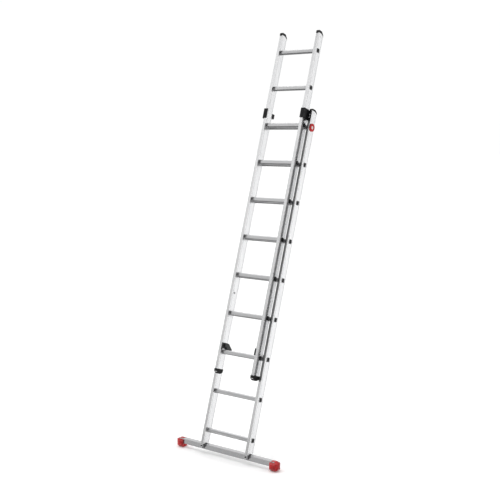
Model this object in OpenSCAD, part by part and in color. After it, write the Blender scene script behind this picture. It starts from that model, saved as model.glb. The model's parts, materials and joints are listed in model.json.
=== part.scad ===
// Two-section push-up extension ladder, leaning, with its fly raised.
// Row frame: origin on the floor midway between the feet, X across, +Y towards the wall, +Z up.
// Most parts are drawn in the ladder's own frame: X across, Y from the climber's side to the back,
// Z up along the stiles, with Z = 0 at the base's lowest rung and Y = 0 on the fly's front face.

/* [Ladder] */
// Angle between the stiles and the vertical, in degrees
lean = 18; // [15:1:25]
// Distance from one rung to the next
rung_pitch = 280; // [250:5:300]
// Rungs by which the fly is raised
raised_rungs = 2; // [2:1:5]
// Width over the base's stiles
base_w = 416; // [400:1:480]
// Width over the fly's stiles
fly_w = 344; // [320:1:400]

/* [Stiles] */
// Width of a stile, seen from the front
stile_w = 22; // [20:1:30]
// Depth of a stile, front to back
stile_d = 64; // [56:1:80]
// Wall of the stiles and of the crossbar
wall = 2; // [1.5:0.1:3]
// How far the base sits behind the fly, front face to front face
section_step = 50; // [48:1:60]
// Fly stile below its lowest rung
fly_tail = 148; // [120:1:160]
// Fly stile above its highest rung
fly_head = 129; // [120:1:160]
// Base stile below its lowest rung
base_tail = 89; // [80:1:90]
// Base stile above its highest rung
base_head = 116; // [115:1:140]

/* [Rungs] */
// Height of a rung
rung_h = 30; // [24:1:34]
// Depth of a rung
rung_d = 28; // [24:1:30]
// Corner radius of a rung
rung_r = 7; // [3:0.5:12]
// Wall of a rung
rung_wall = 1.6; // [1.2:0.1:2.5]
// Width of the collar that holds a rung's end
collar_w = 2; // [1.5:0.5:3]

/* [Crossbar] */
// Length over the two red foot caps
crossbar_l = 900; // [700:5:1200]
// Side of the square crossbar
beam = 36; // [30:1:45]
// Height of the crossbar's underside above the floor
beam_z = 30; // [15:1:40]
// Length of a red foot cap
cap_l = 64; // [50:1:80]
// Depth of a red foot cap
cap_d = 64; // [50:1:74]
// Height of a red foot cap
cap_h = 68; // [55:1:80]

/* [Guides and latches] */
// Height of a guide bracket, along the stile
guide_h = 74; // [60:1:90]
// Free space between the fly stile and its guide
guide_gap = 1; // [0.5:0.1:2]
// Diameter of the round disc on the base
disc_dia = 58; // [40:1:62]

/* [Output] */
// The sub-part to draw

/* [Hidden] */
$fn = 48;
rung_count = 9;                              // rungs in each section; every one is a sub-part of its own

metal = [0.82, 0.83, 0.85];
black = [0.10, 0.10, 0.11];
red = [0.72, 0.05, 0.06];
steel = [0.45, 0.46, 0.48];

// Ladder frame: where the sections start and end
base_y = section_step;                       // front face of the base's stiles
base_in = base_w / 2 - stile_w;              // inner face of a base stile, from the middle
fly_in = fly_w / 2 - stile_w;                // inner face of a fly stile, from the middle
fly_z = raised_rungs * rung_pitch;           // the fly's lowest rung
section_l = (rung_count - 1) * rung_pitch;   // from the lowest rung to the highest
base_top = section_l + base_head;
fly_top = fly_z + section_l + fly_head;
fly_rung_y = stile_d / 2;
base_rung_y = base_y + stile_d / 2;

// Crossbar, in the row frame, and where that puts the ladder
floor_drop = beam_z + 155;                   // ladder frame's origin above the floor
foot_y = 51.5;                               // ladder frame's origin in front of the beam's middle
tongue_l = 42;                               // front wall running on below the stile
bolt_z = -116;
bolt_r = 3;
bolt_head_r = 5.5;

// Small sizes
fit = 0.15;                                  // free space round a rung or rivet in its hole
collar_t = 1.5;
plug_flange = 0.6;                           // flange of a rung's end plug
plug_gap = 0.3;                              // free space round a plug inside a stile
rivet_r = 2.4;
rivet_head_r = 4.5;
rivet_head_t = 1.6;
cap_rivet_y = 27;                            // a cap's rivet, behind the stile's front face
base_rivet_drop = 14;                        // and below the top of a base stile
fly_rivet_drop = 26;                         // or of a fly stile
foot_rivet_rise = 36;                        // or above a fly stile's bottom
wall_face = 14;                              // upright face of a top cap, which rests on a wall
cap_flat = 35;                               // flat part of a stile's top, before the slope at the back
base_drop = 8;                               // drop of that slope on the base, and on the fly
fly_drop = 10;
foot_skirt = 2.5;                            // wall of the foot cap outside the stile
stop_z = fly_z + 425;                        // stop bolts in the fly's stiles
stop_y = 28;
stop_r = 3;
stop_nut_t = 5;
guide_t = 5;                                 // wall of a guide bracket
guide_web = 3;                               // from the fly's stile to the guide's web

// Latch, measured from the fly's lowest rung
latch_z = fly_z + 45;                        // pivot height
latch_y = 30;                                // pivot, behind the fly's front face
latch_plate_t = 2.5;
pin_r = 4;
pin_play = 0.05;
hook_t = 6;
hook_x = fly_in - latch_plate_t - 3.4;       // side of the hook that faces the stile

// ---------- frames and basic shapes ----------

// Stands the ladder frame in the row frame.
module leaning() {
  translate([0, -foot_y, floor_drop]) rotate([-lean, 0, 0]) children();
}

// A flat shape drawn with Y across and Z up, given thickness along X from x0.
module along_x(x0, length) {
  translate([x0, 0, 0]) rotate([90, 0, 90]) linear_extrude(length) children();
}

module box(low, high) {
  translate(low) cube(high - low);
}

module rod_x(x0, length, r) {
  translate([x0, 0, 0]) rotate([0, 90, 0]) cylinder(h = length, r = r);
}

// A rod along Y, from y0 towards the back.
module rod_y(y0, length, r) {
  translate([0, y0, 0]) rotate([-90, 0, 0]) cylinder(h = length, r = r);
}

module round_rect(w, h, r) {
  square([w, h - 2 * r], center = true);
  square([w - 2 * r, h], center = true);
  for (x = [-1, 1])
    for (y = [-1, 1])
      translate([x * (w / 2 - r), y * (h / 2 - r)]) circle(r);
}

// The rung's outline, grown by some amount.
module rung_outline(grow) {
  round_rect(rung_d + 2 * grow, rung_h + 2 * grow, rung_r + grow);
}

// Left parts are the right ones in a mirror.
module left() {
  mirror([1, 0, 0]) children();
}

// ---------- stiles and rungs ----------

// Box section of a right-hand stile whose inner face is at x_in and front face at y0.
// A shallow groove runs along each side, as on an extruded stile.
module stile_box(x_in, y0, z0, z1) {
  groove_d = 0.6;
  groove_w = 3;
  groove_in = 8;
  difference() {
    box([x_in, y0, z0], [x_in + stile_w, y0 + stile_d, z1]);
    box([x_in + wall, y0 + wall, z0 - 1], [x_in + stile_w - wall, y0 + stile_d - wall, z1 + 1]);
    for (y = [y0 + groove_in, y0 + stile_d - groove_in - groove_w]) {
      box([x_in - 1, y, z0 - 1], [x_in + groove_d, y + groove_w, z1 + 1]);
      box([x_in + stile_w - groove_d, y, z0 - 1], [x_in + stile_w + 1, y + groove_w, z1 + 1]);
    }
  }
}

// Holes for the rungs through both sides of a stile.
module rung_holes(x_in, y, z0) {
  for (i = [0 : rung_count - 1])
    translate([0, y, z0 + i * rung_pitch])
      along_x(x_in - 1, stile_w + 2) rung_outline(fit);
}

// Removes the stile's top behind its middle, along the slope under the top cap.
module top_slope(x_in, y0, top, drop) {
  slope = drop / (stile_d - cap_flat);
  rear = y0 + stile_d + 1;
  along_x(x_in - 1, stile_w + 2)
    polygon([[y0 + cap_flat, top], [rear, top - drop - slope], [rear, top + 1], [y0 + cap_flat, top + 1]]);
}

module rivet_hole(x, y, z) {
  translate([0, y, z]) rod_x(x, wall + 2, rivet_r + fit);
}

module base_stile_right() {
  x_out = base_w / 2;
  difference() {
    union() {
      stile_box(base_in, base_y, -base_tail, base_top);
      box([base_in, base_y, -base_tail - tongue_l], [x_out, base_y + wall, -base_tail + 1]);
    }
    rung_holes(base_in, base_rung_y, 0);
    top_slope(base_in, base_y, base_top, base_drop);
    rivet_hole(x_out - wall - 1, base_y + cap_rivet_y, base_top - base_rivet_drop);
    rivet_hole(x_out - wall - 1, base_rung_y, disc_z());
    for (z = guide_rivet_z())
      translate([guide_rivet_x(), 0, z]) rod_y(base_y - 1, wall + 2, rivet_r + fit);
    translate([bolt_x(), 0, bolt_z]) rod_y(base_y - 1, wall + 2, bolt_r + fit);
  }
}

module fly_stile_right() {
  x_out = fly_w / 2;
  difference() {
    stile_box(fly_in, 0, fly_z - fly_tail, fly_top);
    rung_holes(fly_in, fly_rung_y, fly_z);
    top_slope(fly_in, 0, fly_top, fly_drop);
    rivet_hole(x_out - wall - 1, cap_rivet_y, fly_top - fly_rivet_drop);
    rivet_hole(x_out - wall - 1, cap_rivet_y, fly_z - fly_tail + foot_rivet_rise);
    translate([0, stop_y, stop_z]) rod_x(fly_in - 1, stile_w + 2, stop_r + fit);
    for (p = latch_rivet_at())
      translate([0, p[0], p[1]]) rod_x(fly_in - 1, wall + 2, rivet_r + fit);
  }
}

// A tube through both stiles, held by a collar against each side of each stile.
module rung(w, y, z) {
  half = w / 2;
  translate([0, y, z]) {
    difference() {
      union() {
        along_x(-half - collar_t, w + 2 * collar_t) rung_outline(0);
        for (side = [-1, 1]) {
          along_x(side * (half + collar_t / 2) - collar_t / 2, collar_t) rung_outline(collar_w);
          along_x(side * (half - stile_w - collar_t / 2) - collar_t / 2, collar_t) rung_outline(collar_w);
        }
      }
      along_x(-half - collar_t - 1, w + 2 * collar_t + 2) rung_outline(-rung_wall);
    }
  }
}

// Black plugs in the open ends of every rung of a section.
module rung_plugs(w, y, z0) {
  end = w / 2 + collar_t;
  stem_l = 12;
  stem_w = rung_d - 2 * rung_wall - 6;
  stem_h = rung_h - 2 * rung_wall - 6;
  color(black) leaning() both_sides()
    for (i = [0 : rung_count - 1])
      translate([0, y, z0 + i * rung_pitch]) {
        along_x(end, plug_flange) rung_outline(0);
        along_x(end - stem_l, stem_l + 0.3) square([stem_w, stem_h], center = true);
      }
}

module base_rung(i) {
  color(metal) leaning() rung(base_w, base_rung_y, (i - 1) * rung_pitch);
}

module fly_rung(i) {
  color(metal) leaning() rung(fly_w, fly_rung_y, fly_z + (i - 1) * rung_pitch);
}

// ---------- caps on the stiles ----------

// Side view of a top cap: a lip in front, a flat top and a slope down at the back.
module top_cap_outline(drop, thick, lip_l) {
  lip = 2.5;
  crown = 7;
  rear = [stile_d + lip, -drop - 5];
  face_top = rear + wall_face * [-sin(lean), cos(lean)];
  polygon([[-lip, -lip_l], [0, -lip_l], [0, 0], [cap_flat, 0], [stile_d, -drop + plug_gap], rear,
           face_top, [cap_flat + 4, thick], [6, thick], [-lip, thick - crown]]);
}

// Moulded cap on a stile's top, with a hollow plug inside the stile.
module top_cap(x_in, y0, top, drop, thick, lip_l, plug_l, rivet_drop) {
  inset = wall + plug_gap;
  plug_wall = 3;
  low = [x_in + inset, y0 + inset, top - plug_l];
  rear = y0 + stile_d - inset;
  difference() {
    union() {
      translate([0, y0, top]) along_x(x_in, stile_w) top_cap_outline(drop, thick, lip_l);
      difference() {
        box(low, [x_in + stile_w - inset, rear, top + 1]);
        top_slope(x_in, y0, top + 0.5, drop);
      }
    }
    translate([0, y0 + cap_rivet_y, top - rivet_drop]) rod_x(x_in + inset - 1, stile_w, rivet_r + fit);
    box(low + [plug_wall, plug_wall, -1], [x_in + stile_w - inset - plug_wall, rear - 24, top - 3]);
  }
}

module base_cap_right() {
  top_cap(base_in, base_y, base_top, base_drop, 14, lip_l = 0, plug_l = 24, rivet_drop = base_rivet_drop);
}

module fly_cap_right() {
  top_cap(fly_in, 0, fly_top, fly_drop, 19, lip_l = 5, plug_l = 38, rivet_drop = fly_rivet_drop);
}

// Rubber foot on the fly's stile, with a plug inside it and a glide pad in the gap beside the base.
module fly_foot_right() {
  bottom = fly_z - fly_tail;
  skirt_h = 24;
  plug_h = 46;
  inset = wall + plug_gap;
  x1 = fly_in + stile_w;
  difference() {
    union() {
      foot_body(bottom, skirt_h);
      box([x1, base_y + 1, bottom - 2], [base_in - 1, base_y + 12, bottom + 16]);
    }
    difference() {
      box([fly_in - plug_gap, -plug_gap, bottom], [x1 + plug_gap, stile_d + plug_gap, bottom + skirt_h + 1]);
      box([fly_in + inset, inset, bottom - 1], [x1 - inset, stile_d - inset, bottom + plug_h]);
    }
  }
  difference() {
    box([fly_in + inset, inset, bottom - 1], [x1 - inset, stile_d - inset, bottom + plug_h]);
    translate([0, cap_rivet_y, bottom + foot_rivet_rise]) rod_x(fly_in + inset - 1, stile_w, rivet_r + fit);
  }
}

// Outside of the foot: straight sides, and a sole rounded from front to back.
module foot_body(bottom, skirt_h) {
  sole = 11;
  sole_r = 42;
  low = bottom - sole;
  x0 = fly_in - foot_skirt;
  w = stile_w + 2 * foot_skirt;
  intersection() {
    box([x0, -foot_skirt, low - 1], [x0 + w, stile_d + foot_skirt, bottom + skirt_h]);
    translate([0, stile_d / 2, low + sole_r]) rod_x(x0 - 1, w + 2, sole_r);
  }
}

// ---------- rivets and small bolts ----------

// A blind rivet along X: a head outside the wall and a shank going in from x.
module rivet_x(x, y, z, shank) {
  translate([x, y, z]) {
    rod_x(-shank, shank + 0.5, rivet_r);
    rivet_head();
  }
}

// A head with a sloping rim that sits on a face at X = 0.
module rivet_head() {
  rim = 1.8;
  rotate([0, 90, 0]) cylinder(h = rivet_head_t, r1 = rivet_head_r, r2 = rivet_head_r - rim);
}

module both_sides() {
  children();
  left() children();
}

module base_cap_rivets() {
  color(steel) leaning() both_sides()
    rivet_x(base_w / 2, base_y + cap_rivet_y, base_top - base_rivet_drop, 12);
}

module fly_cap_rivets() {
  color(steel) leaning() both_sides() {
    rivet_x(fly_w / 2, cap_rivet_y, fly_top - fly_rivet_drop, 12);
    rivet_x(fly_w / 2, cap_rivet_y, fly_z - fly_tail + foot_rivet_rise, 12);
  }
}

// Bolts through the fly's stiles, with heads thick enough to run against the guides' webs.
module stop_bolts() {
  head_t = guide_web + 1;
  head_r = 5.5;
  end = fly_in - stop_nut_t - 2;
  color(steel) leaning() both_sides()
    translate([0, stop_y, stop_z]) {
      rod_x(end, fly_w / 2 - end + 0.5, stop_r);
      rod_x(fly_w / 2, head_t, head_r);
    }
}

module stop_nuts() {
  hex_r = 5.8;
  color(steel) leaning() both_sides()
    translate([fly_in - stop_nut_t, stop_y, stop_z]) rotate([0, 90, 0])
      difference() {
        cylinder(h = stop_nut_t, r = hex_r, $fn = 6);
        translate([0, 0, -1]) cylinder(h = stop_nut_t + 2, r = stop_r + fit);
      }
}

// ---------- the disc on the base ----------

// The disc sits a little below the top rung's middle.
function disc_z() = section_l - 3;

// Round red disc with a plain raised rim, on a hollow seat over a rung's end.
module disc() {
  t = 3;
  r = disc_dia / 2;
  stand = rung_end_clear();
  color(red) leaning() translate([base_w / 2, base_rung_y, disc_z()]) {
    difference() {
      union() {
        rod_x(stand, t, r);
        rod_x(0, stand + 0.5, r - 2);
        rod_x(stand + t - 0.5, 1.5, r - 3);
      }
      rod_x(-1, stand + 1, r - 5);
      rod_x(stand + t, 3, r - 7);
    }
  }
}

// A rung's collar and plug stand this far off the stile, with a little air.
function rung_end_clear() = collar_t + plug_flange + 0.5;

// ---------- crossbar ----------

function bolt_x() = base_in + stile_w / 2;

module beam_block(half_l, inset) {
  side = beam - 2 * inset;
  translate([-half_l, -side / 2, beam_z + inset]) cube([2 * half_l, side, side]);
}

// Bolt holes, tilted with the ladder, through the level beam.
module bolt_holes(r) {
  leaning() both_sides()
    translate([bolt_x(), 0, bolt_z]) rod_y(base_y - 20, 100, r);
}

module crossbar() {
  half_l = crossbar_l / 2 - 26;
  color(metal) difference() {
    beam_block(half_l, 0);
    beam_block(half_l + 1, wall);
    bolt_holes(bolt_r + fit);
  }
}

// Grey wedges between the level beam and the tilted tongues.
module crossbar_wedges() {
  side = 4;
  deep = 40;
  low = [base_in + side, base_y + wall, -base_tail - tongue_l + 1];
  color(steel) difference() {
    leaning() both_sides()
      box(low, [base_in + stile_w - side, base_y + deep, -base_tail - 18]);
    translate([-base_w, -beam / 2, 0]) cube([2 * base_w, 2 * beam, 3 * beam]);
    bolt_holes(bolt_r + fit);
  }
}

module crossbar_bolts() {
  head_t = 4;
  shank = 76;
  color(black) leaning() both_sides()
    translate([bolt_x(), 0, bolt_z]) {
      rod_y(base_y - 0.5, shank, bolt_r);
      rod_y(base_y - head_t, head_t, bolt_head_r);
    }
}

// Flanged nuts behind the beam, each with a flange cut to the beam's face.
module crossbar_nuts() {
  flange_y = base_y + 52;
  flange_r = 8;
  hex_r = 7.5;
  hex_h = 20;
  color(steel) difference() {
    leaning() both_sides()
      translate([bolt_x(), flange_y, bolt_z]) rotate([-90, 0, 0]) {
        cylinder(h = 15, r = flange_r);
        cylinder(h = hex_h, r = hex_r, $fn = 6);
      }
    translate([-base_w, -beam, beam_z - beam]) cube([2 * base_w, 1.5 * beam, 3 * beam]);
    bolt_holes(bolt_r + fit);
  }
}

// Red foot cap: a faceted dome on the beam's end, flat under the middle.
module crossbar_cap_right() {
  x1 = crossbar_l / 2;
  x0 = x1 - cap_l;
  nose = 26;
  plug = beam / 2 - wall - plug_gap;
  difference() {
    intersection() {
      along_x(x0, cap_l) cap_side(20);
      translate([0, 0, -1]) linear_extrude(cap_h + 2) cap_plan(x0, x1, nose);
      rotate([90, 0, 0]) linear_extrude(2 * cap_d, center = true) cap_front(x0, x1, nose);
    }
    difference() {
      translate([x0 - 1, -beam / 2 - plug_gap, beam_z - plug_gap])
        cube([cap_l - nose + 2, beam + 2 * plug_gap, beam + 2 * plug_gap]);
      translate([0, -plug, beam_z + beam / 2 - plug]) cube([x1, 2 * plug, 2 * plug]);
    }
  }
}

// Outline of the cap along the beam: a square with its corners cut off.
module cap_side(c) {
  half = cap_d / 2;
  polygon([[-half + c, 0], [half - c, 0], [half, c], [half, cap_h - c], [half - c, cap_h],
           [-half + c, cap_h], [-half, cap_h - c], [-half, c]]);
}

// Outline from above: a narrower neck on the beam and a blunt nose at the end.
module cap_plan(x0, x1, nose) {
  half = cap_d / 2;
  neck = 5;
  neck_l = 8;
  shoulder = x1 - nose * 0.35;
  polygon([[x0, -half + neck], [x0 + neck_l, -half], [x1 - nose, -half],
           [shoulder, -half * 0.74], [x1, -half * 0.35], [x1, half * 0.35], [shoulder, half * 0.74],
           [x1 - nose, half], [x0 + neck_l, half], [x0, half - neck]]);
}

// Outline from the front, with the nose's corners cut off.
module cap_front(x0, x1, nose) {
  neck = 6;
  neck_l = 8;
  shoulder = x1 - nose * 0.35;
  polygon([[x0, neck], [x0 + neck_l, 0], [x1 - nose, 0],
           [shoulder, cap_h * 0.13], [x1, cap_h * 0.32], [x1, cap_h * 0.66], [shoulder, cap_h * 0.87],
           [x1 - nose, cap_h], [x0 + neck_l, cap_h], [x0, cap_h - neck]]);
}

// ---------- guides ----------

function guide_top() = base_top + 2;
function guide_rivet_x() = base_in + 9;
function guide_rivet_z() = [guide_top() - 34, guide_top() - guide_h + 20];

// Bracket on the base's front face that wraps round the fly's stile.
module guide_right() {
  z1 = guide_top();
  z0 = z1 - guide_h;
  web_x = fly_w / 2 + guide_web;
  web_end = web_x + guide_t;
  jaw_y = stile_d + guide_gap;
  jaw_rear = jaw_y + 22;
  jaw_out = base_in - 3.5;
  jaw_low = z0 + 20;
  jaw_high = z1 - 20;
  difference() {
    union() {
      box([web_x, -guide_gap - guide_t, z0], [web_end, base_y - 0.5, z1]);
      box([fly_in - 3, -guide_gap - guide_t, z0 + 4], [web_end, -guide_gap, z1]);
      box([web_x, base_y - guide_t, z0 - 4], [base_in + 18, base_y, z1 - 5]);
      box([web_x, base_y - guide_t, jaw_low], [jaw_out, jaw_rear, jaw_high]);
      box([fly_in - 4, jaw_y, jaw_low], [jaw_out, jaw_rear, jaw_high]);
      box([fly_in + 10, jaw_y, z0 - 4], [fly_in + 18, jaw_y + 8, jaw_low + 1]);
      for (y = [2, stile_d - 11])
        box([web_x - 2, y, jaw_low + 2], [web_x + 1, y + 7, jaw_high - 2]);
    }
    for (z = guide_rivet_z())
      translate([guide_rivet_x(), 0, z]) rod_y(base_y - guide_t - 1, guide_t + 2, rivet_r + fit);
  }
}

module guide_rivets() {
  shank = 12;
  color(steel) leaning() both_sides()
    for (z = guide_rivet_z())
      translate([guide_rivet_x(), base_y - guide_t, z]) rotate([0, 0, -90]) {
        rod_x(-shank, shank + 0.5, rivet_r);
        rivet_head();
      }
}

// ---------- latches ----------

// Depth and height of each rivet of a latch plate.
function latch_rivet_at() = [[12, latch_z + 10], [52, latch_z + 10]];

// Black plates on the inner faces of the fly's stiles, each with a front flange.
module latch_plates() {
  x0 = fly_in - latch_plate_t;
  flange_w = 7;
  flange_front = -4;
  color(black) leaning() both_sides() difference() {
    union() {
      box([x0, 2, latch_z - 24], [fly_in, 60, latch_z + 18]);
      box([fly_in - flange_w, flange_front, latch_z - 32], [fly_in, 5, latch_z + 16]);
    }
    translate([0, latch_y, latch_z]) rod_x(x0 - 1, latch_plate_t + 2, pin_r + fit);
    for (p = latch_rivet_at())
      translate([0, p[0], p[1]]) rod_x(x0 - 1, latch_plate_t + 2, rivet_r + fit);
  }
}

module latch_rivets() {
  shank = 9;
  color(black) leaning() both_sides()
    for (p = latch_rivet_at())
      translate([fly_in - latch_plate_t, p[0], p[1]]) rotate([0, 0, 180]) {
        rod_x(-shank, shank + 0.5, rivet_r);
        rivet_head();
      }
}

// Pivot pin: riveted in the plate, with a head that keeps the hook on.
module latch_pin_right() {
  head_t = 1.5;
  head_x = hook_x - hook_t - 0.3 - head_t;
  translate([0, latch_y, latch_z]) {
    rod_x(head_x, fly_in - 0.2 - head_x, pin_r);
    rod_x(head_x, head_t, pin_r + 3);
  }
}

// Side view of the hook, from its pivot: an arm over the base's rung and a lip behind it.
module hook_outline() {
  arm_bottom = -28.5;
  lip_front = base_rung_y + rung_d / 2 + 2 - latch_y;
  lip_bottom = -45;
  polygon([[0, 9], [4, 16], [34, 16], [50, 2], [lip_front + 12, arm_bottom + 8], [lip_front + 9, lip_bottom],
           [lip_front + 1, lip_bottom], [lip_front, arm_bottom], [22, arm_bottom], [8, -7], [0, -7]]);
}

module latch_hook_right() {
  translate([0, latch_y, latch_z]) difference() {
    union() {
      along_x(hook_x - hook_t, hook_t) hook_outline();
      rod_x(hook_x - hook_t, hook_t, 12);
    }
    rod_x(hook_x - hook_t - 1, hook_t + 2, pin_r + pin_play);
  }
}

// Torsion spring round the pin: two coils, one leg on the hook's side and one on the plate's.
module latch_spring_right() {
  wire = 0.6;
  leg_r = 0.5;
  leg_l = 12;
  coil_r = pin_r + 1.6;
  pitch = 1.1;
  translate([hook_x + 1, latch_y, latch_z]) {
    for (i = [0, 1])
      translate([i * pitch, 0, 0]) rotate([0, 90, 0])
        rotate_extrude() translate([coil_r, 0]) circle(wire, $fn = 8);
    rod_y(coil_r, leg_l, leg_r);
    translate([pitch, 0, 0]) rod_y(-coil_r - leg_l, leg_l, leg_r);
  }
}

// ---------- assembly ----------

color(metal) leaning() left() base_stile_right();  // base_stile_left
color(metal) leaning() base_stile_right();
base_rung(1);  // base_rung_1
base_rung(2);  // base_rung_2
base_rung(3);  // base_rung_3
base_rung(4);  // base_rung_4
base_rung(5);  // base_rung_5
base_rung(6);  // base_rung_6
base_rung(7);  // base_rung_7
base_rung(8);  // base_rung_8
base_rung(9);  // base_rung_9
rung_plugs(base_w, base_rung_y, 0);  // base_rung_plugs
color(black) leaning() left() base_cap_right();  // base_cap_left
color(black) leaning() base_cap_right();
base_cap_rivets();
disc();
crossbar();
color(red) left() crossbar_cap_right();  // crossbar_cap_left
color(red) crossbar_cap_right();
crossbar_wedges();
crossbar_bolts();
crossbar_nuts();
color(black) leaning() left() guide_right();  // guide_left
color(black) leaning() guide_right();
guide_rivets();
color(metal) leaning() left() fly_stile_right();  // fly_stile_left
color(metal) leaning() fly_stile_right();
fly_rung(1);  // fly_rung_1
fly_rung(2);  // fly_rung_2
fly_rung(3);  // fly_rung_3
fly_rung(4);  // fly_rung_4
fly_rung(5);  // fly_rung_5
fly_rung(6);  // fly_rung_6
fly_rung(7);  // fly_rung_7
fly_rung(8);  // fly_rung_8
fly_rung(9);  // fly_rung_9
rung_plugs(fly_w, fly_rung_y, fly_z);  // fly_rung_plugs
color(black) leaning() left() fly_cap_right();  // fly_cap_left
color(black) leaning() fly_cap_right();
color(black) leaning() left() fly_foot_right();  // fly_foot_left
color(black) leaning() fly_foot_right();
fly_cap_rivets();
stop_bolts();
stop_nuts();
latch_plates();
latch_rivets();
color(black) leaning() left() latch_pin_right();  // latch_pin_left
color(black) leaning() latch_pin_right();
color(black) leaning() left() latch_hook_right();  // latch_hook_left
color(black) leaning() latch_hook_right();
color(steel) leaning() left() latch_spring_right();  // latch_spring_left
color(steel) leaning() latch_spring_right();
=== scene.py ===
"""Extension ladder: materials, domed heads, softened edges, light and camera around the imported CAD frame."""

import json
import math

import bmesh
import bpy
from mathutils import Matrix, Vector


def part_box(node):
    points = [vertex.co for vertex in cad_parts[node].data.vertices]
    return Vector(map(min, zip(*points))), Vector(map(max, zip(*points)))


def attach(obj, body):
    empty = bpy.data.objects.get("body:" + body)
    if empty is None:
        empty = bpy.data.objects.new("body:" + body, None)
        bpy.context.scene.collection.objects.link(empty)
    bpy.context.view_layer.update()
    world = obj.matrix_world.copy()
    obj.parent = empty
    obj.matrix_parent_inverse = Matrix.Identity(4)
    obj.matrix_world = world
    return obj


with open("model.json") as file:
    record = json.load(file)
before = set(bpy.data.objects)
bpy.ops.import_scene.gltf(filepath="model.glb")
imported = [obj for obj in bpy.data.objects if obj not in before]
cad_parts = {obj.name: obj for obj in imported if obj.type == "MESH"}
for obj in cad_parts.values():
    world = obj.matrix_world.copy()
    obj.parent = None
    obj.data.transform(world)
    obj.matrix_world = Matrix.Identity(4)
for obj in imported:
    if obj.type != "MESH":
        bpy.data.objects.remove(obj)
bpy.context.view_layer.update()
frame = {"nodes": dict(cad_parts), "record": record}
NODES = frame["nodes"]

SLIDE = next(j for j in frame["record"]["behaviour"]["joints"] if j["name"] == "fly_slide")
UP = Vector(SLIDE["axis"])                 # along the stiles
LEAN = math.atan2(UP.y, UP.z)
BACK = Vector((0, math.cos(LEAN), -math.sin(LEAN)))
RIGHT = Vector((1, 0, 0))
MM = 0.001


# ---------- materials ----------

WORN_METAL = 1.2 * MM                      # width of the worn line along an edge, by material
WORN_PLASTIC = 1.5 * MM
WORN_PLATING = 0.6 * MM
MOULDED_SPECULAR = 0.18                      # moulded parts are dull
ALUMINIUM_METALLIC = 0.94                  # a thin oxide film leaves a little diffuse light


class Shader:
    """A node material with the few nodes that every finish here is built from."""

    def __init__(self, name):
        self.material = bpy.data.materials.new(name)
        self.material.use_nodes = True
        self.nodes = self.material.node_tree.nodes
        self.links = self.material.node_tree.links
        self.bsdf = self.nodes["Principled BSDF"]

    def add(self, kind, **values):
        """A node, with its settings or inputs by name."""
        node = self.nodes.new(kind)
        for key, value in values.items():
            if hasattr(node, key):
                setattr(node, key, value)
            else:
                node.inputs[key.replace("_", " ")].default_value = value
        return node

    def join(self, source, output, target, socket):
        self.links.new(source.outputs[output], target.inputs[socket])

    def place(self, stretch=(1.0, 1.0, 1.0), turn=0.0):
        """Coordinates in the row frame, turned about X and stretched."""
        where = self.add("ShaderNodeTexCoord")
        mapping = self.add("ShaderNodeMapping")
        mapping.inputs["Rotation"].default_value = (turn, 0, 0)
        mapping.inputs["Scale"].default_value = stretch
        self.join(where, "Object", mapping, "Vector")
        return mapping

    def noise(self, where, scale, detail=4.0, roughness=0.6):
        node = self.add("ShaderNodeTexNoise", Scale=scale, Detail=detail, Roughness=roughness)
        self.join(where, "Vector", node, "Vector")
        return node

    def ramp(self, source, output, low, high, start=0.35, end=0.65):
        """A colour that runs from low to high as the source goes from start to end."""
        node = self.add("ShaderNodeValToRGB")
        first, last = node.color_ramp.elements
        first.position, first.color = start, (*low, 1)
        last.position, last.color = end, (*high, 1)
        self.join(source, output, node, "Fac")
        return node

    def span(self, source, output, low, high):
        """A number that runs from low to high as the source goes from 0 to 1."""
        node = self.add("ShaderNodeMapRange")
        node.inputs["To Min"].default_value = low
        node.inputs["To Max"].default_value = high
        self.join(source, output, node, "Value")
        return node

    def edges(self, width):
        """1 on edges and 0 on flats, from the difference between true and rounded normals."""
        bevel = self.add("ShaderNodeBevel", samples=4)
        bevel.inputs["Radius"].default_value = width
        flat = self.add("ShaderNodeNewGeometry")
        dot = self.add("ShaderNodeVectorMath", operation="DOT_PRODUCT")
        self.join(bevel, "Normal", dot, 0)
        self.join(flat, "Normal", dot, 1)
        node = self.add("ShaderNodeMapRange")
        node.inputs["From Min"].default_value = 1.0
        node.inputs["From Max"].default_value = 0.85
        self.join(dot, "Value", node, "Value")
        return node

    def blend(self, factor, colour, second):
        """The socket of a colour that goes over to a second, plain one where the factor is 1."""
        node = self.add("ShaderNodeMix", data_type="RGBA")
        self.join(factor, "Result", node, "Factor")
        sockets = [k for k in node.inputs if k.type == "RGBA"]
        self.links.new(colour, sockets[0])
        sockets[1].default_value = (*second, 1)
        return next(k for k in node.outputs if k.type == "RGBA")

    def facing(self, direction, start, end):
        """1 on faces turned towards a direction and 0 on the others."""
        face = self.add("ShaderNodeNewGeometry")
        dot = self.add("ShaderNodeVectorMath", operation="DOT_PRODUCT")
        dot.inputs[1].default_value = direction
        self.join(face, "True Normal", dot, 0)
        node = self.add("ShaderNodeMapRange")
        node.inputs["From Min"].default_value = start
        node.inputs["From Max"].default_value = end
        self.join(dot, "Value", node, "Value")
        return node

    def bump(self, source, output, strength, distance):
        node = self.add("ShaderNodeBump")
        node.inputs["Strength"].default_value = strength
        node.inputs["Distance"].default_value = distance
        self.join(source, output, node, "Height")
        self.join(node, "Normal", self.bsdf, "Normal")
        return node


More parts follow.
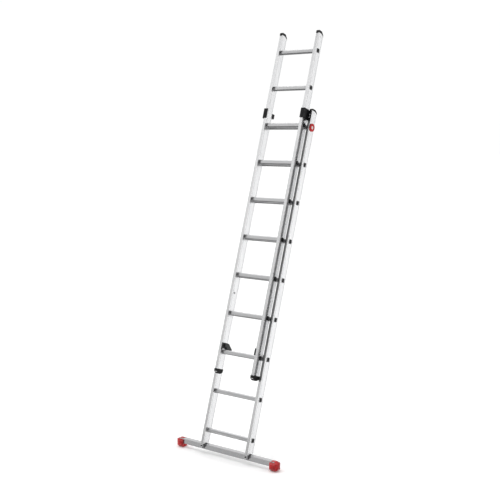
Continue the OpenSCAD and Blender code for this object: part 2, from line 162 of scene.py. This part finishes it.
def extruded_aluminium(name, tone, grain, turn, rough=(0.20, 0.32), painted_shade=None):
    """Mill-finish aluminium: fine die lines along the extrusion, handling marks, bright edges.

    Painted shade, where given, is the side whose faces are painted darker and the darker colour they go over
    to, standing in for the shade those faces fall in.
    """
    s = Shader(name)
    lines = s.noise(s.place(grain, turn), 60.0, 3.0)
    marks = s.noise(s.place(), 9.0, 6.0, 0.7)
    dark = tuple(tone * k for k in (0.90, 0.905, 0.92))
    light = tuple(tone * k for k in (1.0, 1.0, 1.005))
    base = s.ramp(lines, "Fac", dark, light, 0.3, 0.7)
    worn = tuple(min(1.0, tone * k) for k in (1.08, 1.08, 1.09))
    colour = s.blend(s.edges(WORN_METAL), base.outputs["Color"], worn)
    # Painted shade: faces turned towards the given side blend over to a darker colour, as if they were in
    # shade.
    if painted_shade:
        side, shaded_colour = painted_shade
        colour = s.blend(s.facing(side, 0.1, 0.8), colour, shaded_colour)
    s.links.new(colour, s.bsdf.inputs["Base Color"])
    s.join(s.span(marks, "Fac", *rough), "Result", s.bsdf, "Roughness")
    s.bsdf.inputs["Metallic"].default_value = ALUMINIUM_METALLIC
    s.bump(lines, "Fac", 0.10, 0.6 * MM)
    return s.material


def moulded(name, dark, light, rough, grain_scale, coat=0.0, edge_gain=1.6):
    """Moulded plastic or rubber: a fine spark-eroded grain, blotches of dust and paler rubbed edges."""
    s = Shader(name)
    dust = s.noise(s.place(), 24.0, 5.0, 0.65)
    grain = s.noise(s.place(), grain_scale, 2.0)
    base = s.ramp(dust, "Fac", dark, light)
    rubbed = tuple(min(1.0, c * edge_gain + 0.012) for c in light)
    colour = s.blend(s.edges(WORN_PLASTIC), base.outputs["Color"], rubbed)
    s.links.new(colour, s.bsdf.inputs["Base Color"])
    s.join(s.span(dust, "Fac", *rough), "Result", s.bsdf, "Roughness")
    s.bsdf.inputs["Coat Weight"].default_value = coat
    s.bsdf.inputs["Specular IOR Level"].default_value = MOULDED_SPECULAR
    s.bump(grain, "Fac", 0.18, 0.4 * MM)
    return s.material


def plated(name, dark, light, rough, metallic=1.0):
    """Plated or coated steel with a cloudy finish and worn edges."""
    s = Shader(name)
    cloud = s.noise(s.place(), 140.0, 5.0, 0.7)
    base = s.ramp(cloud, "Fac", dark, light)
    bare = tuple(min(1.0, c * 1.5 + 0.04) for c in light)
    colour = s.blend(s.edges(WORN_PLATING), base.outputs["Color"], bare)
    s.links.new(colour, s.bsdf.inputs["Base Color"])
    s.join(s.span(cloud, "Fac", *rough), "Result", s.bsdf, "Roughness")
    s.bsdf.inputs["Metallic"].default_value = metallic
    s.bump(cloud, "Fac", 0.12, 0.3 * MM)
    return s.material


ALONG_STILE = (1.0, 1.0, 0.012)
ALONG_BEAM = (0.012, 1.0, 1.0)
# Painted shade: the rungs' undersides and the crossbar's front face are painted darker by the way they face,
# standing in for the shade that falls on them.
RUNG_UNDERSIDE_SHADE = (-UP, (0.07, 0.07, 0.073))
BEAM_FRONT_SHADE = (Vector((0, -1, 0)), (0.34, 0.34, 0.345))
MATERIALS = {
    "stile_metal": extruded_aluminium("stile_metal", 0.84, ALONG_STILE, LEAN, (0.16, 0.28)),
    "rung_metal": extruded_aluminium("rung_metal", 0.64, ALONG_BEAM, LEAN, (0.24, 0.36), RUNG_UNDERSIDE_SHADE),
    "crossbar_metal": extruded_aluminium("crossbar_metal", 0.54, ALONG_BEAM, 0.0, (0.20, 0.32), BEAM_FRONT_SHADE),
    "rivet_metal": plated("rivet_metal", (0.35, 0.35, 0.36), (0.52, 0.52, 0.53), (0.30, 0.48)),
    "zinc_steel": plated("zinc_steel", (0.38, 0.39, 0.41), (0.58, 0.58, 0.58), (0.25, 0.42)),
    "spring_steel": plated("spring_steel", (0.30, 0.30, 0.31), (0.48, 0.48, 0.49), (0.22, 0.36)),
    "hook_steel": plated("hook_steel", (0.012, 0.012, 0.013), (0.022, 0.022, 0.024), (0.32, 0.50), 0.25),
    "bolt_black": plated("bolt_black", (0.020, 0.020, 0.021), (0.040, 0.040, 0.042), (0.30, 0.46), 0.5),
    "black_plastic": moulded("black_plastic", (0.008, 0.008, 0.009), (0.018, 0.018, 0.019),
                             (0.38, 0.55), 900.0),
    "grey_plastic": moulded("grey_plastic", (0.22, 0.22, 0.23), (0.32, 0.32, 0.33), (0.40, 0.55), 700.0),
    "guide_plastic": moulded("guide_plastic", (0.007, 0.007, 0.008), (0.016, 0.016, 0.017),
                             (0.34, 0.52), 800.0),
    "foot_rubber": moulded("foot_rubber", (0.010, 0.010, 0.010), (0.020, 0.020, 0.020),
                           (0.55, 0.75), 500.0),
    "red_rubber": moulded("red_rubber", (0.30, 0.001, 0.003), (0.58, 0.003, 0.006),
                          (0.12, 0.22), 420.0, 0.30, 1.15),
    "disc_red": moulded("disc_red", (0.42, 0.005, 0.008), (0.54, 0.010, 0.012),
                        (0.22, 0.34), 700.0, 0.15, 1.15),
    "disc_pale": moulded("disc_pale", (0.72, 0.70, 0.69), (0.82, 0.80, 0.79),
                         (0.30, 0.42), 700.0, 0.2, 1.05),
}
SLOT_OF = {part["node"]: part["material_slot"] for part in frame["record"]["subparts"]}


def soften(obj, width):
    """A small bevel along an object's sharp edges."""
    mod = obj.modifiers.new("edges", "BEVEL")
    mod.width = width
    mod.segments = 3
    mod.limit_method = "ANGLE"
    mod.angle_limit = math.radians(50)
    mod.use_clamp_overlap = True
    mod.harden_normals = False


SOFT_EDGES = {
    "stile_metal": 0.5 * MM,
    "crossbar_metal": 0.6 * MM,
    "black_plastic": 1.4 * MM,
    "guide_plastic": 1.0 * MM,
    "foot_rubber": 1.4 * MM,
    "red_rubber": 5.0 * MM,
    "hook_steel": 0.4 * MM,
}


def dress_nodes():
    """Gives every CAD node its material, and the larger ones a softened edge."""
    for name, obj in NODES.items():
        slot = SLOT_OF[name]
        obj.data.materials.clear()
        obj.data.materials.append(MATERIALS[slot])
        if slot in SOFT_EDGES:
            soften(obj, SOFT_EDGES[slot])


dress_nodes()


# ---------- pieces made here ----------


def new_piece(name, mesh, slot, body):
    """Links a finished bmesh as a piece that rides on a CAD body."""
    data = bpy.data.meshes.new(name)
    bmesh.ops.recalc_face_normals(mesh, faces=mesh.faces)
    mesh.to_mesh(data)
    mesh.free()
    data.materials.append(MATERIALS[slot])
    obj = bpy.data.objects.new(name, data)
    bpy.context.scene.collection.objects.link(obj)
    for polygon in data.polygons:
        polygon.use_smooth = True
    data.set_sharp_from_angle(angle=math.radians(35))
    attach(obj, body)
    return obj


def turned(mesh, centre, axis, profile, steps=32):
    """Adds a closed solid of revolution: profile is (radius, height along axis) from axis back to axis."""
    side = axis.orthogonal().normalized()
    other = axis.cross(side)
    rings = []
    for radius, height in profile:
        middle = centre + axis * height
        if radius == 0:
            rings.append([mesh.verts.new(middle)])
            continue
        ring = []
        for i in range(steps):
            angle = 2 * math.pi * i / steps
            ring.append(mesh.verts.new(middle + radius * (side * math.cos(angle) + other * math.sin(angle))))
        rings.append(ring)
    for a, b in zip(rings, rings[1:]):
        for i in range(steps):
            j = (i + 1) % steps
            corners = [a[i % len(a)], a[j % len(a)], b[j % len(b)], b[i % len(b)]]
            mesh.faces.new(list(dict.fromkeys(corners)))


def dome_profile(radius, height, rim):
    """A low dome on a short cylindrical rim, from its base's middle to its top."""
    points = [(0, 0), (radius, 0), (radius, rim)]
    steps = 6
    for i in range(1, steps):
        angle = math.pi / 2 * i / steps
        points.append((radius * math.cos(angle), rim + (height - rim) * math.sin(angle)))
    return points + [(0, height)]


def parts_of(node):
    """The separate solids of a CAD node, each as a list of points."""
    mesh = bmesh.new()
    mesh.from_mesh(NODES[node].data)
    bmesh.ops.remove_doubles(mesh, verts=mesh.verts, dist=1e-6)
    left = set(mesh.verts)
    groups = []
    while left:
        stack = [left.pop()]
        group = []
        while stack:
            vert = stack.pop()
            group.append(vert.co.copy())
            for edge in vert.link_edges:
                other = edge.other_vert(vert)
                if other in left:
                    left.remove(other)
                    stack.append(other)
        groups.append(group)
    mesh.free()
    return groups


def end_of(points, axis):
    """The middle of a solid's face at its far end along an axis."""
    far = max(p.dot(axis) for p in points)
    face = [p for p in points if p.dot(axis) > far - 1e-5]
    return sum(face, Vector()) / len(face)


def domed_heads(name, node, body, axes, radius, height, slot):
    """Domed heads over the flat ones of a CAD node's rivets or bolts."""
    sunk, rim = 0.4 * MM, 0.3 * MM
    mesh = bmesh.new()
    for points in parts_of(node):
        middle = sum(points, Vector()) / len(points)
        axis = axes(middle)
        top = end_of(points, axis)
        turned(mesh, top - axis * sunk, axis, dome_profile(radius, height, rim))
    return new_piece(name, mesh, slot, body)


def outward(middle):
    return RIGHT if middle.x > 0 else -RIGHT


def forward(middle):
    return -BACK


RIVET_DOME = (2.6 * MM, 0.9 * MM)          # radius and height
BOLT_DOME = (5.0 * MM, 1.8 * MM)
domed_heads("base_rivet_domes", "base_cap_rivets", "base", outward, *RIVET_DOME, "rivet_metal")
domed_heads("fly_rivet_domes", "fly_cap_rivets", "fly", outward, *RIVET_DOME, "rivet_metal")
domed_heads("guide_rivet_domes", "guide_rivets", "base", forward, *RIVET_DOME, "rivet_metal")
domed_heads("crossbar_bolt_domes", "crossbar_bolts", "base", forward, *BOLT_DOME, "bolt_black")
domed_heads("stop_bolt_domes", "stop_bolts", "fly", outward, *BOLT_DOME, "zinc_steel")


def disc_face():
    """A plain pale button in the middle of the red disc."""
    low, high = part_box("disc")
    middle = (low + high) / 2
    middle.x = high.x - 1.6 * MM
    mesh = bmesh.new()
    turned(mesh, middle, RIGHT, dome_profile(11 * MM, 1.5 * MM, 0.6 * MM))
    new_piece("disc_button", mesh, "disc_pale", "base")


disc_face()


# ---------- floor, light and camera ----------


def floor():
    """A wide pale floor."""
    mesh = bmesh.new()
    bmesh.ops.create_grid(mesh, x_segments=8, y_segments=8, size=90.0)
    data = bpy.data.meshes.new("floor")
    mesh.to_mesh(data)
    mesh.free()
    s = Shader("floor")
    cloud = s.noise(s.place(), 1.5, 3.0)
    tone = s.ramp(cloud, "Fac", (0.94, 0.94, 0.94), (0.97, 0.97, 0.97))
    s.join(tone, "Color", s.bsdf, "Base Color")
    s.bsdf.inputs["Roughness"].default_value = 0.9
    s.bsdf.inputs["Specular IOR Level"].default_value = 0.1
    s.bsdf.inputs["Emission Color"].default_value = (1, 1, 1, 1)
    s.bsdf.inputs["Emission Strength"].default_value = 0.15
    data.materials.append(s.material)
    obj = bpy.data.objects.new("floor", data)
    bpy.context.scene.collection.objects.link(obj)


def soft_box(name, where, target, size, power):
    light = bpy.data.lights.new(name, "AREA")
    light.shape = "RECTANGLE"
    light.size, light.size_y = size
    light.energy = power
    obj = bpy.data.objects.new(name, light)
    obj.location = where
    obj.rotation_mode = "QUATERNION"
    obj.rotation_quaternion = (Vector(target) - Vector(where)).to_track_quat("-Z", "Y")
    bpy.context.scene.collection.objects.link(obj)


def sky_part(nodes, links, direction, start, end, low, high):
    """World brightness that goes from low to high as the view turns towards a direction."""
    where = nodes.new("ShaderNodeTexCoord")
    dot = nodes.new("ShaderNodeVectorMath")
    dot.operation = "DOT_PRODUCT"
    dot.inputs[1].default_value = direction
    links.new(where.outputs["Generated"], dot.inputs[0])
    ramp = nodes.new("ShaderNodeMapRange")
    ramp.interpolation_type = "SMOOTHSTEP"
    ramp.inputs["From Min"].default_value = start
    ramp.inputs["From Max"].default_value = end
    ramp.inputs["To Min"].default_value = low
    ramp.inputs["To Max"].default_value = high
    links.new(dot.outputs["Value"], ramp.inputs["Value"])
    return ramp.outputs["Result"]


def studio():
    """A white room that is dark on the climber's side, with a wide overhead light and a soft box."""
    world = bpy.data.worlds.new("studio")
    bpy.context.scene.world = world
    world.use_nodes = True
    nodes, links = world.node_tree.nodes, world.node_tree.links
    sky = nodes["Background"]
    room = sky_part(nodes, links, (0.05, 0.80, 0.60), -0.65, 0.35, 0.14, 1.02)
    corner = sky_part(nodes, links, (0.56, -0.66, 0.50), 0.45, 0.85, 1.0, 0.10)
    both = nodes.new("ShaderNodeMath")
    both.operation = "MULTIPLY"
    links.new(room, both.inputs[0])
    links.new(corner, both.inputs[1])
    links.new(both.outputs["Value"], sky.inputs["Strength"])
    sky.inputs["Color"].default_value = (1, 1, 1, 1)
    soft_box("fill", (-4.2, -4.5, 4.0), (0, 0.4, 1.5), (5.0, 6.0), 45.0)
    sun = bpy.data.lights.new("overhead", "SUN")
    sun.energy = 1.1
    sun.angle = math.radians(60)
    obj = bpy.data.objects.new("overhead", sun)
    obj.rotation_euler = (math.radians(12), math.radians(-10), 0)
    bpy.context.scene.collection.objects.link(obj)


def camera():
    """The photograph's viewing angle: from the climber's right, a little above the ladder's middle."""
    data = bpy.data.cameras.new("camera")
    data.sensor_width = 36.0
    data.lens = 67.2
    obj = bpy.data.objects.new("camera", data)
    azimuth, pitch = math.radians(37.6), math.radians(-7.03)
    level = math.cos(pitch)
    look = Vector((-math.sin(azimuth) * level, math.cos(azimuth) * level, math.sin(pitch)))
    obj.location = (3.961, -4.878, 2.236)
    obj.rotation_mode = "QUATERNION"
    obj.rotation_quaternion = look.to_track_quat("-Z", "Y")
    bpy.context.scene.collection.objects.link(obj)
    bpy.context.scene.camera = obj


floor()
studio()
camera()
bpy.context.scene.view_settings.view_transform = "Standard"
